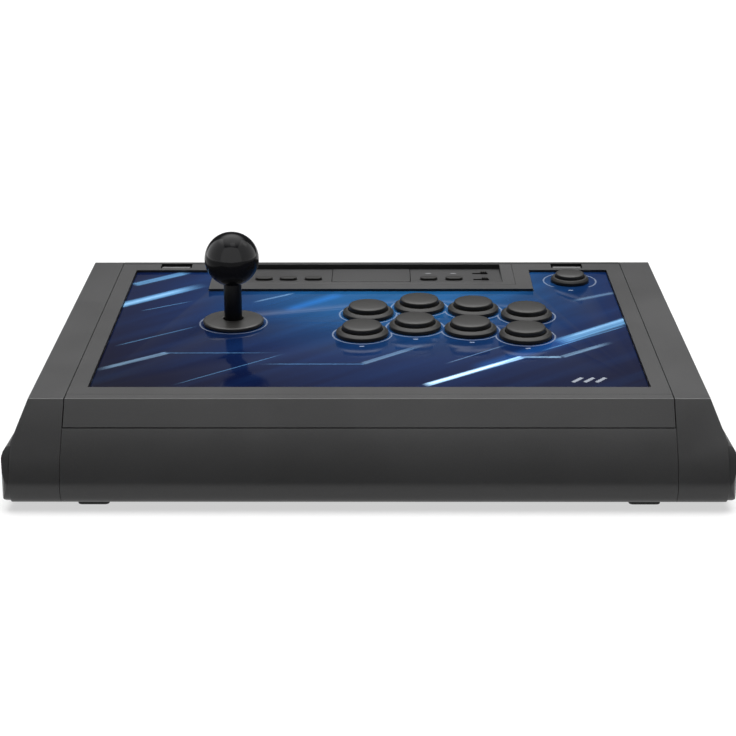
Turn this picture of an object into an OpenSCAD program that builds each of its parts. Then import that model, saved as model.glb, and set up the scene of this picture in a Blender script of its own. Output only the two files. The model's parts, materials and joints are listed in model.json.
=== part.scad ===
// Arcade joystick panel: a free-standing fight-stick case with a hinged lid, a ball-top lever,
// eight 30 mm buttons, one 24 mm button and a recessed strip of small controls.
// Millimetres. +X to the player's right, +Y away from the player, +Z up, origin under the middle
// of the case on the table. "Deck" frame: the leaning top face, origin at the middle of its front
// edge, x across, v up the slope and w out of the face.

/* [Case] */
// Width across the side walls
case_w = 412; // [404:1:420]
// Width of the top face
deck_w = 395.4; // [392:0.2:397]
// Depth of the top face along its slope
deck_depth = 270.9; // [268:0.1:276]
// Height of the top face's front edge above the table
deck_z = 60; // [58:1:64]
// Lean of the top face towards the player, in degrees
tilt = 4; // [3.5:0.1:4.5]
// Wall thickness of the plastic shells
wall = 3; // [2.5:0.1:3.5]
// Distance from the middle to the seams of the side panels
seam_x = 176.9; // [176:0.1:178]
// Height below the top face at which the side walls turn vertical
side_drop = 20.3; // [18:0.1:21]

/* [Front] */
// Angle of the slanted front face from horizontal, in degrees
slope = 52.8; // [50:0.1:56]
// Depth of the crease below the deck's front edge
crease_drop = 29; // [27:0.5:31]
// Angle of the nose's upper face from horizontal, in degrees
nose_face = 68; // [64:1:72]
// How far the nose stands forward of the deck's front edge
nose_reach = 27.6; // [27:0.1:28.5]
// Depth of the parting line between the lid and the nose
part_drop = 14.2; // [13:0.1:16]

/* [Panel] */
// Half width of the printed panel's opening
panel_x = 165.8; // [164:0.1:167]
// Front edge of the printed panel's opening
panel_v0 = 18.9; // [17:0.1:20]
// Rear edge of the printed panel's opening
panel_v1 = 252.2; // [250:0.1:253]
// Depth of the printed panel below the deck
panel_sink = 1.6; // [1:0.1:2]
// Half width of the tongue round the small controls
tongue_x = 111; // [110:0.5:113]
// Front edge of that tongue
tongue_v = 208.5; // [207:0.5:210]

/* [Lever] */
// Lever position across the deck
lever_x = -88.9; // [-92:0.1:-86]
// Lever position up the deck
lever_v = 140.7; // [138:0.1:143]
// Ball top diameter
ball_d = 35; // [33:0.5:36]
// Height of the ball's centre above the deck
ball_w = 41.9; // [40:0.1:44]
// Outer diameter of the shaft's cover
cover_d = 11.5; // [11:0.1:12]
// Depth of the lever's pivot below the deck
pivot_w = -18; // [-18.5:0.1:-17.5]

/* [Buttons] */
// First button's place across the deck
first_x = -1.5; // [-4:0.5:0]
// First button's place up the deck
first_v = 158.5; // [155:0.5:159]
// Rim diameter of a 30 mm button
rim_d = 33.5; // [33:0.1:34]
// Plunger diameter of a 30 mm button
plunger_d = 25.6; // [25:0.1:25.8]
// The 24 mm button's place across the deck
small_x = 138; // [134:0.5:140]
// The 24 mm button's place up the deck
small_v = 231; // [226:0.5:232]
// Rim diameter of the 24 mm button
small_rim_d = 26.2; // [26:0.1:28]
// Plunger diameter of the 24 mm button
small_plunger_d = 20; // [19:0.1:20.4]

/* [Hidden] */
$fn = 64;
// Overlap that keeps cutting shapes clear of the faces they cut
eps = 1;

// Case
foot_h = 3;
foot_w = 18.2;
foot_round = 2.5;
foot_x = 160;
foot_front = -5.2;
foot_rear = 253;
rear_y = deck_depth * cos(tilt);
deck_y = (nose_reach - rear_y) / 2;
drop = deck_z - foot_h;
rear_chamfer = 4;
half_w = case_w / 2;
flare = half_w - deck_w / 2;
side_lean = atan(flare / side_drop);
tub_x = seam_x - 0.2;
lid_x = seam_x - 0.4;
lid_gap_w = -16;
seam_gap = 0.5;
crease = -crease_drop * [1 / tan(slope), 1];
nose_r = (-sin(nose_face) * (crease.x + nose_reach) + cos(nose_face) * (crease.y + drop))
    / (1 - sin(nose_face) + cos(nose_face));
nose_c = [nose_r - nose_reach, nose_r - drop];
nose_steps = 24;

// Lid
frame_t = 4;
lid_v0 = 7.2;
lid_v1 = 266.7;
rim_v = 267.6;
hinge_v = 260.5;
hinge_w = -2.5;
pin_r = 1.25;
pin_fit = 0.05;
slot_x0 = 127.5;
slot_x1 = 149.5;
slot_v = 256;
plate_w = -frame_t;
plate_t = 1.6;
art_t = frame_t - panel_sink - 2;
plate_under = plate_w - plate_t;
screw_r = 1.5;
head_r = 2.75;
side_screw_x = 169.5;
side_screw_v = [40, 136, 232];
front_screw_v = 16;
front_screw_x = [-110, 0, 110];

// Function strip: its floor lies level, so it is measured in the world's own directions
insert_x = 99.5;
insert_v = 218.2;
insert_w = -7;
recess_x = 91;
recess_v = 224;
recess_lip = 0.6;
recess_end_v = 265.6;
recess_y = deck_y + recess_v * cos(tilt) + recess_lip * sin(tilt);
recess_z = deck_z + recess_v * sin(tilt) - recess_lip * cos(tilt);
board_w = -11;
board_t = 1.6;
pad_x = 27.2;
pad_v0 = 227.4;
pad_v1 = 265;
option_x = [-74.7, -57.8, -40.3, 40.2, 57.8];
option_v = 234.5;
option_flat = 4.7;
option_r = 3.6;
slot_x = 71.2;
slot_length = 11;
knob_rest_x = 79.2;
knob_v = [252, 233.8];
flange_screws = [[-103, 225], [103, 225], [-103, 255], [103, 255]];

// Lever parts, by depth along the lever
shaft_r = 4;
ring_r = 13;
ring_hole_r = 9.2;
hub_r = 8;
trunnion_r = 2;
washer_r = 19.7;
lever_hole_r = 12;
mount_w = -8;
housing_w = -9.6;
housing_half = 30;
housing_bottom = -34;
gate_w = -49.5;
gate_half = 13.6;
actuator_top = -35.5;
actuator_bottom = -47.5;
stud_at = [40, 22];

// Buttons
button_steps = [[0, 0], [34, 13.5], [69.5, 7.5], [104, -4]];
row_step = [-3.5, -40.3];
button_pos = [for (row = [0, 1], step = button_steps) [first_x, first_v] + step + row * row_step];
small_pos = [small_x, small_v];
button_hole_r = 15.1;
barrel_r = 14.8;
small_hole_r = 12.1;
small_barrel_r = 11.8;
bore_gap = 0.35;
barrel_bottom = -24;
rim_top = 2.2;
small_rim_top = 1.9;
plunger_top = 5.8;
small_plunger_top = 5;

// Release buttons and side caps, in world heights measured from the deck's front edge in y
release_y = 100;
release_z = 23.5;
release_size = [45.2, 17.2];
release_gap = 0.4;
release_back = 202;
release_face = 209.4;
arm_x = 195.5;
arm_half = 8;
cap_y0 = -60;
cap_y1 = 258;
cap_z0 = 3.8;
cap_z1 = 36.6;
cap_margin = 1;
cap_round = 9;
// Steps of the cap's crowned face: height out of the side wall and how far it draws in
cap_steps = [[0, 0], [1.6, 0], [3, 0.9], [4.1, 2.6], [4.8, 5], [5.3, 9]];

// Main board and socket
board_x = [10, 130];
board_y = [190, 261];
board_z = 12;
usb_x = 70;
plate_size = [316, 226];
plate_y0 = 22;
plate_steel = 1.5;
ledge = 6;
floor_screws = [for (x = [-155, 155], y = [60, 135, 210]) [x, y]];
cross_screws = [for (x = [-75, 75], y = [25, 245]) [x, y]];
board_screws = [for (x = board_x + [6, -6], y = [198, 240]) [x, y]];

plastic = [0.16, 0.16, 0.165];
dark = [0.09, 0.09, 0.095];
gloss = [0.03, 0.03, 0.035];
steel = [0.62, 0.63, 0.65];
board_green = [0.05, 0.22, 0.12];
blue = [0.08, 0.2, 0.5];

// ---- Helpers -------------------------------------------------------------------------------

module on_deck() {
    translate([0, deck_y, deck_z]) rotate([tilt, 0, 0]) children();
}

module in_recess() {
    translate([0, recess_y, recess_z]) children();
}

// Distance along the level recess floor for a place given up the deck
function recess_q(v) = (v - recess_v) * cos(tilt);

module at_lever() {
    on_deck() translate([lever_x, lever_v, 0]) children();
}

// A line through p at angle a, moved inwards by d
function inset_line(p, a, d) = p + d * [sin(a), -cos(a)];

// Where the line through p at angle a meets the line through q at angle b
function meet(p, a, q, b) =
    let (k = ((q.x - p.x) * sin(b) - (q.y - p.y) * cos(b)) / sin(b - a))
    p + k * [cos(a), sin(a)];

// Side outline of the case in y and z from the deck's front edge, moved inwards by d
function side_outline(d) =
    let (
        top = inset_line([0, 0], tilt, d),
        front = inset_line([0, 0], slope, d),
        face = inset_line(crease, nose_face, d),
        rear = [rear_y - d, 0]
    )
    concat(
        [meet(top, tilt, rear, 90), meet(top, tilt, front, slope),
            meet(front, slope, face, nose_face)],
        [for (i = [0:nose_steps]) let (a = 90 + nose_face + i * (180 - nose_face) / nose_steps)
            nose_c + (nose_r - d) * [cos(a), sin(a)]],
        [[rear_y - rear_chamfer, -drop + d], [rear_y - d, -drop + rear_chamfer]]
    );

// Cross outline of the case in x and w, moved inwards by d
function cross_outline(d) =
    let (
        top_x = deck_w / 2 - d * (1 - sin(side_lean)) / cos(side_lean),
        turn_w = -(d + (flare - d) * cos(side_lean)) / sin(side_lean),
        low = -deck_z - 50
    )
    [[-top_x, -d], [top_x, -d], [half_w - d, turn_w], [half_w - d, low],
        [d - half_w, low], [d - half_w, turn_w]];

// The case's outer form between x0 and x1, moved inwards by d
module envelope(d, x0, x1) {
    intersection() {
        translate([x0, deck_y, deck_z])
            rotate([90, 0, 90]) linear_extrude(x1 - x0) polygon(side_outline(d));
        on_deck() translate([0, 330, 0])
            rotate([90, 0, 0]) linear_extrude(400) polygon(cross_outline(d));
    }
}

// A block of size s whose corner is at p, both given in the frame of the caller
module block(p, s) {
    translate(p) cube(s);
}

module rod(r, p, length, turn = [0, 0, 0]) {
    translate(p) rotate(turn) cylinder(r = r, h = length);
}

// Flat rounded rectangle, centred
module round_rect(size, r) {
    square([size.x - 2 * r, size.y], center = true);
    square([size.x, size.y - 2 * r], center = true);
    for (x = [-1, 1], y = [-1, 1])
        translate([x * (size.x / 2 - r), y * (size.y / 2 - r)]) circle(r);
}

// A flat outline in y and z, set upright and thickened along x
module upright(x, t) {
    translate([x, deck_y, 0]) rotate([90, 0, 90]) linear_extrude(t) children();
}

module right_or_left(side) {
    mirror([side < 0 ? 1 : 0, 0, 0]) children();
}

// Coil of wire: mean radius r, wire radius wire, standing on z = 0
module coil(r, wire, height, turns) {
    sides = 6;
    steps = turns * 16;
    points = [for (i = [0:steps], j = [0:sides - 1])
        let (a = 360 * turns * i / steps, b = 360 * j / sides, reach = r + wire * cos(b))
        [reach * cos(a), reach * sin(a), wire + (height - 2 * wire) * i / steps + wire * sin(b)]];
    walls = [for (i = [0:steps - 1], j = [0:sides - 1])
        let (k = (j + 1) % sides)
        [i * sides + j, (i + 1) * sides + j, (i + 1) * sides + k, i * sides + k]];
    ends = [[for (j = [0:sides - 1]) j], [for (j = [sides - 1:-1:0]) steps * sides + j]];
    polyhedron(points, concat(walls, ends), convexity = 8);
}

// ---- Base ----------------------------------------------------------------------------------

module base_tub() {
    color(plastic) difference() {
        union() {
            difference() {
                envelope(0, -tub_x, tub_x);
                envelope(wall, -tub_x + wall, tub_x - wall);
                // Room for the lid and its front bar
                on_deck() block([-half_w, 5, lid_gap_w], [case_w, rim_v - 5, 40]);
                block([-half_w, deck_y - 40, deck_z - part_drop - seam_gap], [case_w, 46, 40]);
            }
            for (p = concat(floor_screws, cross_screws))
                rod(3.5, [p.x, deck_y + p.y, foot_h + plate_steel], 7.5);
            // Sleeve that guides the cable's plug to the socket
            block([usb_x - 8, deck_y + 261.8, 10], [16, rear_y - wall - 261, 11]);
        }
        // Floor opening, with a rebate for the steel plate
        block([-plate_size.x / 2 + ledge, deck_y + plate_y0 + ledge, 0],
            [plate_size.x - 2 * ledge, plate_size.y - 2 * ledge, foot_h + wall + eps]);
        block([-plate_size.x / 2, deck_y + plate_y0, 0],
            [plate_size.x, plate_size.y, foot_h + plate_steel]);
        for (p = concat(floor_screws, cross_screws))
            rod(screw_r, [p.x, deck_y + p.y, 0], 11);
        block([usb_x - 6, deck_y + 261, 12], [12, 20, 6.7]);
        // Notches that the release arms pass through
        for (x = [-tub_x - eps, tub_x - wall - eps])
            block([x, deck_y + release_y - 12, 44], [wall + 2 * eps, 24, 20]);
    }
}

module release_window() {
    translate([release_y, release_z])
        round_rect(release_size + 2 * [release_gap, release_gap], 8);
}

module side_panel(side) {
    color(plastic) right_or_left(side) difference() {
        envelope(0, seam_x, half_w + eps);
        envelope(wall, seam_x - eps, half_w + eps);
        upright(half_w - wall - eps, wall + 2 * eps)
            release_window();
    }
}

module left_side_panel() {
    side_panel(-1);
}

module right_side_panel() {
    side_panel(1);
}

// Side cap's outline: it keeps a margin inside the nose and has rounded rear corners
module cap_outline() {
    intersection() {
        translate([0, deck_z]) polygon(side_outline(cap_margin));
        translate([(cap_y0 + cap_y1) / 2, (cap_z0 + cap_z1) / 2])
            round_rect([cap_y1 - cap_y0, cap_z1 - cap_z0], cap_round);
    }
}

// Crowned section of the cap between two edges, measured out of the side wall
function cap_section(low, high) = concat(
    [for (step = cap_steps) [step[0], low + step[1]]],
    [for (i = [len(cap_steps) - 1:-1:0]) [cap_steps[i][0], high - cap_steps[i][1]]]
);

module side_cap(side) {
    color(plastic) right_or_left(side) difference() {
        intersection() {
            upright(half_w, 8) cap_outline();
            translate([half_w, deck_y + cap_y1 + eps, 0]) rotate([90, 0, 0])
                linear_extrude(cap_y1 + nose_reach + 2 * eps)
                    polygon(cap_section(cap_z0, cap_z1));
            translate([half_w, deck_y, 0]) linear_extrude(cap_z1 + eps)
                polygon(cap_section(cap_margin - nose_reach, cap_y1));
        }
        upright(half_w - eps, 8)
            release_window();
    }
}

module left_side_cap() {
    side_cap(-1);
}

module right_side_cap() {
    side_cap(1);
}

module bottom_plate() {
    color(steel) difference() {
        union() {
            block([-plate_size.x / 2 + 0.2, deck_y + plate_y0 + 0.2, foot_h],
                [plate_size.x - 0.4, plate_size.y - 0.4, plate_steel]);
            for (p = board_screws)
                rod(3, [p.x, deck_y + p.y, foot_h], board_z - foot_h);
        }
        for (p = concat(floor_screws, cross_screws))
            rod(screw_r + 0.1, [p.x, deck_y + p.y, 0], 8);
        for (p = board_screws)
            rod(screw_r, [p.x, deck_y + p.y, board_z - 6], 8);
    }
}

module case_screws() {
    color(steel) {
        for (p = concat(floor_screws, cross_screws)) translate([p.x, deck_y + p.y, 0]) {
            rod(head_r, [0, 0, foot_h - 1.4], 1.4);
            rod(screw_r, [0, 0, foot_h - 0.2], 8);
        }
        for (p = board_screws) translate([p.x, deck_y + p.y, board_z]) {
            rod(head_r, [0, 0, board_t], 1.6);
            rod(screw_r, [0, 0, -5], 6.8);
        }
    }
}

module rubber_feet() {
    color(dark) for (x = [-foot_x, foot_x], y = [foot_front, foot_rear])
        translate([x, deck_y + y, 0]) linear_extrude(foot_h)
            round_rect([foot_w, foot_w], foot_round);
}

module main_board() {
    size = [board_x[1] - board_x[0], board_y[1] - board_y[0]];
    color(board_green) difference() {
        union() {
            block([board_x[0], deck_y + board_y[0], board_z], [size.x, size.y, board_t]);
            // Processor, wiring headers and a capacitor
            block([board_x[0] + 45, deck_y + 215, board_z + 1], [14, 14, 1.8]);
            for (i = [0:4])
                block([board_x[0] + 14 + 19 * i, deck_y + 193, board_z + 1], [12, 6, 7]);
            rod(4, [board_x[1] - 22, deck_y + 228, board_z + 1], 10);
        }
        for (p = board_screws) rod(screw_r + 0.1, [p.x, deck_y + p.y, board_z - eps], 4);
    }
}

module usb_socket() {
    color(steel) difference() {
        block([usb_x - 4.5, deck_y + 253, board_z + board_t], [9, 9, 3.2]);
        block([usb_x - 4.1, deck_y + 254.5, board_z + 2], [8.2, 8.5, 2.4]);
    }
}

module hinge_brackets() {
    axis = [hinge_v * cos(tilt) - hinge_w * sin(tilt), hinge_v * sin(tilt) + hinge_w * cos(tilt)];
    rear_in = rear_y - wall;
    width = slot_x1 - slot_x0 - 2.2;
    color(steel) for (x = [-slot_x1 + 1.1, slot_x0 + 1.1])
        translate([x, deck_y, deck_z]) difference() {
            union() {
                rod(2.3, [0, axis.x, axis.y], width, [0, 90, 0]);
                block([0, axis.x, axis.y - 2.3], [width, rear_in - axis.x, 2.1]);
                block([0, rear_in - 2.5, -15], [width, 2.5, axis.y + 13]);
            }
            rod(pin_r + pin_fit, [-eps, axis.x, axis.y], width + 2 * eps, [0, 90, 0]);
        }
}

module release_button(side) {
    color(dark) right_or_left(side) {
        upright(release_back, release_face - release_back) translate([release_y, release_z])
            round_rect(release_size, 7.6);
        upright(release_face, 2.4) translate([release_y, release_z])
            round_rect(release_size - [3, 3], 6.1);
        upright(200, 2.6) translate([release_y, release_z])
            round_rect(release_size + [5, 4], 5);
        // Arm that reaches over the tub's wall, and the hook inside the lid's skirt
        block([arm_x, deck_y + release_y - arm_half, 28], [5, 2 * arm_half, 6]);
        block([arm_x, deck_y + release_y - arm_half, 28], [2.5, 2 * arm_half, 20.5]);
        block([169, deck_y + release_y - arm_half, 46], [29, 2 * arm_half, 2.5]);
        block([169, deck_y + release_y - arm_half, 46], [2.5, 2 * arm_half, 12.5]);
        block([170, deck_y + release_y - arm_half, 55], [3.1, 2 * arm_half, 2.5]);
    }
}

module left_release_button() {
    release_button(-1);
}

module right_release_button() {
    release_button(1);
}

module release_spring(side) {
    color(steel) right_or_left(side)
        translate([tub_x + 0.4, deck_y + release_y, 31]) rotate([0, 90, 0])
            coil(2.6, 0.4, arm_x - tub_x - 0.7, 5);
}

module left_release_spring() {
    release_spring(-1);
}

module right_release_spring() {
    release_spring(1);
}

// ---- Lid -----------------------------------------------------------------------------------

// The printed panel's outline, with the notch for the tongue, moved inwards by d
module panel_outline(d) {
    x = panel_x - d;
    polygon([[-x, panel_v0 + d], [x, panel_v0 + d], [x, panel_v1 - d],
        [tongue_x + d, panel_v1 - d], [tongue_x + d, tongue_v - d],
        [-tongue_x - d, tongue_v - d], [-tongue_x - d, panel_v1 - d], [-x, panel_v1 - d]]);
}

module lid_frame() {
    color(plastic) on_deck() difference() {
        union() {
            block([-lid_x, lid_v0, -frame_t], [2 * lid_x, lid_v1 - lid_v0, frame_t]);
            for (x = [-lid_x, lid_x - 2.5]) block([x, 12, -13], [2.5, 238, 13]);
            block([-170, 10, -13], [340, 2.5, 13]);
            for (side = [-1, 1], x = [slot_x0 - 6.5, slot_x1 + 0.3])
                block([side < 0 ? -x - 6.2 : x, slot_v + 0.5, -6.5], [6.2, 8, 4]);
        }
        translate([0, 0, -20]) linear_extrude(40) panel_outline(0);
        block([-insert_x - 0.2, insert_v - 0.2, -20], [2 * insert_x + 0.4, 60, 40]);
        for (x = [-slot_x1, slot_x0]) block([x, slot_v, -20], [slot_x1 - slot_x0, 20, 40]);
        for (side = [-1, 1])
            rod(pin_r, [side * 138.5 - 18, hinge_v, hinge_w], 36, [0, 90, 0]);
        panel_screw_places() rod(screw_r, [0, 0, -frame_t - eps], 3.8);
        for (p = flange_screws) rod(screw_r, [p.x, p.y, -frame_t - eps], 3.8);
        // Windows in the skirts for the release hooks
        for (x = [-lid_x - eps, lid_x - 2.5 - eps])
            block([x, release_y - 10, -12.4], [2.5 + 2 * eps, 20, 5.4]);
    }
}

module panel_screw_places() {
    for (x = [-side_screw_x, side_screw_x], v = side_screw_v) translate([x, v, 0]) children();
    for (x = front_screw_x) translate([x, front_screw_v, 0]) children();
}

module front_bar() {
    low = -part_drop;
    outer = side_outline(0);
    inner = side_outline(wall);
    across = wall / sin(slope);
    outer_low = [low / tan(slope), low];
    color(plastic) {
        translate([-lid_x, deck_y, deck_z]) rotate([90, 0, 90]) linear_extrude(2 * lid_x)
            polygon([
                outer[1], outer_low, outer_low + [across, 0], inner[1],
                lid_v0 * [cos(tilt), sin(tilt)] + wall * [sin(tilt), -cos(tilt)],
                lid_v0 * [cos(tilt), sin(tilt)]
            ]);
        // Lip that the lid frame is fixed to
        on_deck() block([-lid_x + 3, 3, -6.5], [2 * lid_x - 6, 6.9, 2.5]);
        on_deck() block([-lid_x + 3, 3, -6.5], [2 * lid_x - 6, 3, 4]);
    }
}

// Holes for every control, with the radii given
module control_holes(lever_r, button_r, small_r) {
    translate([lever_x, lever_v]) circle(lever_r);
    for (p = button_pos) translate(p) circle(button_r);
    translate(small_pos) circle(small_r);
}

module panel_plate() {
    notch_x = tongue_x - 3.5;
    notch_v = tongue_v + 3;
    x = lid_x - 3.2;
    color(steel) on_deck() {
        difference() {
            translate([0, 0, plate_under]) linear_extrude(plate_t) difference() {
                polygon([[-x, 13], [x, 13], [x, 255], [notch_x, 255], [notch_x, notch_v],
                    [-notch_x, notch_v], [-notch_x, 255], [-x, 255]]);
                control_holes(lever_hole_r, button_hole_r, small_hole_r);
            }
            panel_screw_places() rod(screw_r + 0.1, [0, 0, -20], 40);
        }
        for (x = [-1, 1], y = [-1, 1])
            rod(2, [lever_x + x * stud_at.y, lever_v + y * stud_at.x, -13.4], 8);
    }
}

module art_sheet() {
    color(blue) on_deck() translate([0, 0, -frame_t]) linear_extrude(art_t) difference() {
        panel_outline(0.4);
        control_holes(lever_hole_r, button_hole_r, small_hole_r);
    }
}

module clear_cover() {
    color([0.5, 0.6, 0.8, 0.4]) on_deck() translate([0, 0, -frame_t + art_t])
        linear_extrude(frame_t - art_t - panel_sink) difference() {
            panel_outline(0.4);
            control_holes(lever_hole_r, button_hole_r, small_hole_r);
        }
}

module panel_screws() {
    color(steel) on_deck() {
        panel_screw_places() {
            rod(head_r, [0, 0, plate_under - 1.8], 1.8);
            rod(screw_r, [0, 0, plate_under - 0.2], 4.2);
        }
        for (p = flange_screws) translate([p.x, p.y, 0]) {
            rod(head_r, [0, 0, insert_w - 1.8], 1.8);
            rod(screw_r, [0, 0, insert_w - 0.2], 5.6);
        }
    }
}

// Oval outline of a small push button, grown by d
module oval(d) {
    for (x = [-option_flat / 2, option_flat / 2]) translate([x, 0]) circle(option_r + d);
    square([option_flat, 2 * (option_r + d)], center = true);
}

module function_panel() {
    end_q = recess_q(recess_end_v);
    color(dark) difference() {
        union() {
            on_deck() {
                block([-insert_x, insert_v, insert_w],
                    [2 * insert_x, lid_v1 - 0.2 - insert_v, -insert_w]);
                block([-tongue_x + 4.5, tongue_v + 4, insert_w], [2 * tongue_x - 9, 52, 3]);
                for (x = [-88, 88], v = [224, 259]) rod(3, [x, v, board_w], 5);
            }
        }
        in_recess() {
            block([-recess_x, 0, 0], [2 * recess_x, end_q, 10]);
            block([-pad_x - 0.35, recess_q(pad_v0) - 0.35, -20],
                [2 * pad_x + 0.7, recess_q(pad_v1) - recess_q(pad_v0) + 0.7, 30]);
            for (x = option_x) translate([x, recess_q(option_v), -20])
                linear_extrude(30) oval(0.35);
            for (v = knob_v) block([slot_x, recess_q(v) - 1.95, -20], [slot_length, 3.9, 30]);
        }
        on_deck() for (p = flange_screws) rod(screw_r + 0.1, [p.x, p.y, -20], 30);
    }
}

module function_board() {
    color(board_green) on_deck() {
        block([-94, 220, board_w - board_t], [188, 42, board_t]);
        // Click domes under the ovals and the pad, and the slide switches' bodies
        for (x = option_x) block([x - 3, option_v - 3, board_w - 0.2], [6, 6, 0.7]);
        for (x = [-16, 16]) block([x - 3, 243, board_w - 0.2], [6, 6, 0.7]);
        for (v = knob_v) block([slot_x - 2, v - 3, board_w - 0.2], [slot_length + 4, 6, 1.7]);
    }
}

module hinge_pins() {
    color(steel) on_deck() for (side = [-1, 1])
        rod(pin_r, [side * 138.5 - 18, hinge_v, hinge_w], 36, [0, 90, 0]);
}

// Places of the four studs round the lever
module stud_places() {
    for (x = [-1, 1], y = [-1, 1]) translate([x * stud_at.y, y * stud_at.x, 0]) children();
}

module lever_mount_plate() {
    color(steel) at_lever() difference() {
        union() {
            block([-30, -47, mount_w - 1.6], [60, 94, 1.6]);
            stud_places() rod(4.5, [0, 0, mount_w - 0.2], plate_under - mount_w + 0.2);
        }
        rod(lever_hole_r, [0, 0, -20], 30);
        stud_places() rod(2, [0, 0, -20], 30);
    }
}

module lever_nuts() {
    color(steel) at_lever() stud_places() difference() {
        translate([0, 0, housing_w - 3]) cylinder(r = 4, h = 3, $fn = 6);
        rod(2, [0, 0, -20], 20);
    }
}

module lever_housing() {
    h = housing_w - housing_bottom;
    color(dark) at_lever() difference() {
        block([-housing_half, -housing_half, housing_bottom],
            [2 * housing_half, 2 * housing_half, h]);
        rod(10.5, [0, 0, -20], 20);
        rod(15.5, [0, 0, -25], 13);
        block([-26, -26, housing_bottom - eps], [52, 52, 11]);
        rod(trunnion_r + pin_fit, [-21, 0, pivot_w], 42, [0, 90, 0]);
    }
}

module restrictor_gate() {
    color(dark) at_lever() {
        difference() {
            block([-housing_half, -housing_half, gate_w],
                [2 * housing_half, 2 * housing_half, 3.5]);
            block([-gate_half, -gate_half, gate_w - eps], [2 * gate_half, 2 * gate_half, 6]);
        }
        for (x = [-1, 1], y = [-1, 1])
            block([x * 26 - 4, y * 26 - 4, gate_w + 3], [8, 8, 10.9]);
    }
}

module lever_switches() {
    color(gloss) at_lever() for (a = [0:90:270]) rotate(a) {
        block([15, -10, -45.6], [6.5, 20, 10]);
        rod(1.2, [13.5, 0, -41], 2, [0, 90, 0]);
    }
}

module lever_board() {
    color(board_green) at_lever() difference() {
        union() {
            block([-housing_half, -housing_half, housing_bottom - board_t],
                [2 * housing_half, 2 * housing_half, board_t]);
            // Five-pin wiring header on a tab of the board
            block([-housing_half - 6, -8, housing_bottom - board_t], [6.2, 16, board_t]);
            block([-housing_half - 6, -8, housing_bottom - board_t], [5.6, 16, 6]);
        }
        rod(14, [0, 0, -40], 20);
    }
}

// Body of a push button: a rim above the panel, a barrel below and a floor with a hole
module button_body(rim_r, barrel, bore, top) {
    rotate_extrude() polygon([
        [bore, top], [bore + 0.9, top], [rim_r, top - 1.7], [rim_r, -panel_sink],
        [barrel, -panel_sink], [barrel, barrel_bottom], [3.6, barrel_bottom],
        [3.6, barrel_bottom + 2], [bore, barrel_bottom + 2]
    ]);
}

// Plunger of a push button, with its stem
module plunger(r, top) {
    rotate_extrude() polygon([
        [0, top], [r * 0.5, top - 0.12], [r * 0.8, top - 0.5], [r - 0.9, top - 1],
        [r, top - 2], [r, -10], [r - 1.5, -10], [r - 1.5, top - 3.2], [3, top - 3.2],
        [3, -19.3], [0, -19.3]
    ]);
}

module button_bodies() {
    color(dark) on_deck() for (p = button_pos) translate(p)
        button_body(rim_d / 2, barrel_r, plunger_d / 2 + bore_gap, rim_top);
}

module small_button_body() {
    color(dark) on_deck() translate(small_pos)
        button_body(small_rim_d / 2, small_barrel_r, small_plunger_d / 2 + bore_gap,
            small_rim_top);
}

module button_switches() {
    color(gloss) on_deck() for (p = concat(button_pos, [small_pos])) translate(p) {
        block([-10, -3.2, barrel_bottom - 10.5], [20, 6.4, 10.5]);
        for (x = [-7, 5]) block([x, -0.4, barrel_bottom - 15.5], [4.8, 0.8, 5.5]);
    }
}

module main_button(n) {
    color(dark) on_deck() translate(button_pos[n - 1]) plunger(plunger_d / 2, plunger_top);
}

module button_1() {
    main_button(1);
}

module button_2() {
    main_button(2);
}

module button_3() {
    main_button(3);
}

module button_4() {
    main_button(4);
}

module button_5() {
    main_button(5);
}

module button_6() {
    main_button(6);
}

module button_7() {
    main_button(7);
}

module button_8() {
    main_button(8);
}

module small_button() {
    color(dark) on_deck() translate(small_pos) plunger(small_plunger_d / 2, small_plunger_top);
}

// ---- Lever ---------------------------------------------------------------------------------

module pivot_ring() {
    color(gloss) at_lever() translate([0, 0, pivot_w]) difference() {
        union() {
            rod(ring_r, [0, 0, -2.5], 5);
            rod(trunnion_r, [-19.5, 0, 0], 39, [0, 90, 0]);
        }
        rod(ring_hole_r, [0, 0, -10], 20);
        rod(trunnion_r + pin_fit, [0, 20, 0], 40, [90, 0, 0]);
    }
}

module lever_pivot() {
    color(dark) at_lever() translate([0, 0, pivot_w]) difference() {
        union() {
            rod(hub_r, [0, 0, -4], 8);
            rod(trunnion_r, [0, 12.4, 0], 24.8, [90, 0, 0]);
        }
        rod(shaft_r, [0, 0, -10], 20);
    }
}

module lever_shaft() {
    color(steel) at_lever() rod(shaft_r, [0, 0, -50], 94);
}

module shaft_cover() {
    flat_w = ball_w - sqrt(pow(ball_d / 2, 2) - pow(cover_d / 2, 2));
    color(gloss) at_lever() difference() {
        rod(cover_d / 2, [0, 0, -9], flat_w + 9);
        rod(shaft_r, [0, 0, -20], 60);
    }
}

module ball_top() {
    flat_w = ball_w - sqrt(pow(ball_d / 2, 2) - pow(cover_d / 2, 2));
    color(gloss) at_lever() difference() {
        translate([0, 0, ball_w]) sphere(d = ball_d);
        block([-10, -10, flat_w - 10], [20, 20, 10]);
        rod(shaft_r, [0, 0, 0], 44);
    }
}

module actuator() {
    color(dark) at_lever() difference() {
        rod(9, [0, 0, actuator_bottom], actuator_top - actuator_bottom);
        rod(shaft_r, [0, 0, -60], 60);
    }
}

module retaining_clip() {
    color(steel) at_lever() difference() {
        rod(6.5, [0, 0, actuator_bottom - 0.8], 0.8);
        rod(shaft_r, [0, 0, -60], 60);
        block([-1.5, -10, -60], [3, 10, 60]);
    }
}

module lever_spring() {
    bottom = actuator_top + 0.1;
    color(steel) at_lever() translate([0, 0, bottom]) coil(5.6, 0.6, pivot_w - 4.1 - bottom, 5);
}

module under_washer() {
    color(gloss) at_lever() difference() {
        rod(17, [0, 0, -7.2], 1);
        rod(8.2, [0, 0, -20], 20);
    }
}

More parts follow.
